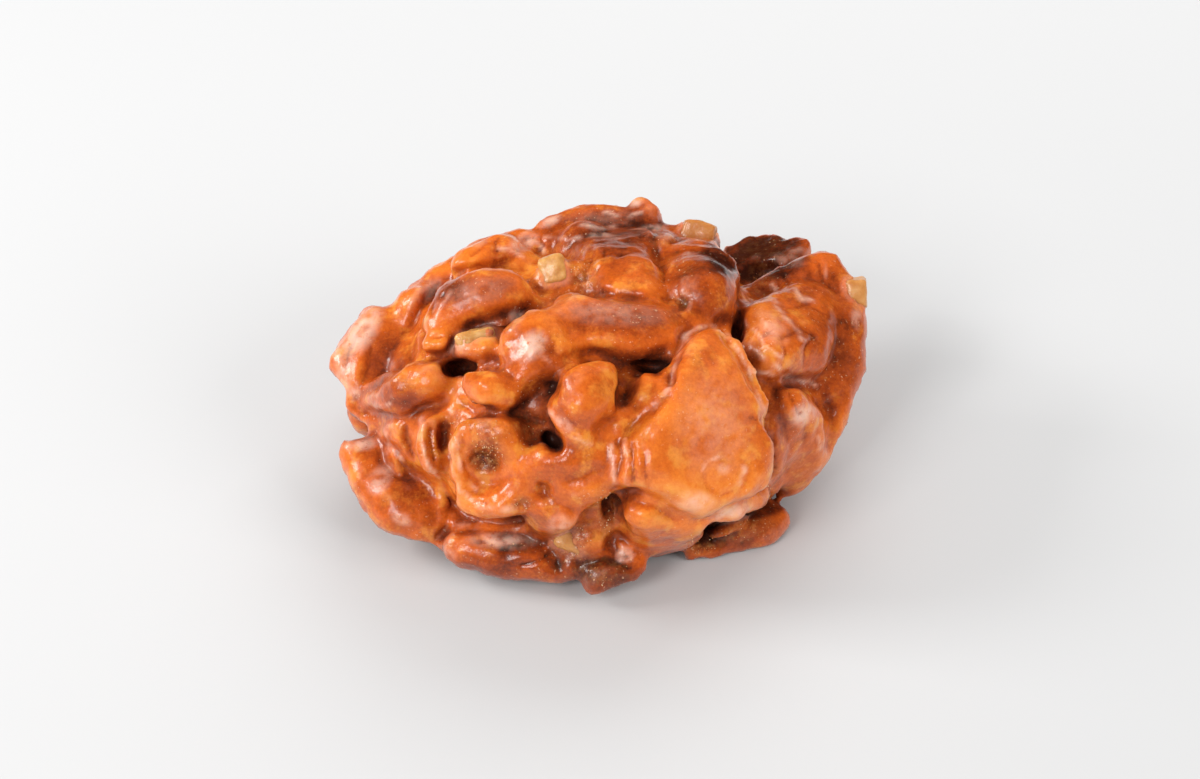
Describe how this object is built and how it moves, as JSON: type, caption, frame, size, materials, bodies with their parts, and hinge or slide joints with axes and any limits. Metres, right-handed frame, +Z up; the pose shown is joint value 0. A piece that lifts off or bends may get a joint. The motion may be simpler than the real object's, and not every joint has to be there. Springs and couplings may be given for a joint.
{
  "type": "apple fritter",
  "caption": "Glazed apple fritter: a craggy oval mound of fried dough lobes grown together, with small pieces of apple showing in its crust.",
  "frame": {"origin": "on the resting surface, under the middle of the fritter", "axes": "+X to the right as seen from the front, along the longest side, +Y to the back, +Z up"},
  "size_m": [0.1306, 0.1088, 0.0608],
  "materials": {
    "fried_dough": "fried golden-brown crust under a clear sugar glaze",
    "apple": "cooked, moist apple flesh"
  },
  "bodies": {
    "root": {"dough": "fried_dough", "apple_crown": "apple", "apple_peak": "apple", "apple_ridge": "apple", "apple_right": "apple", "apple_low": "apple", "apple_back_left": "apple", "apple_back": "apple", "apple_back_right": "apple"}
  },
  "joints": []
}
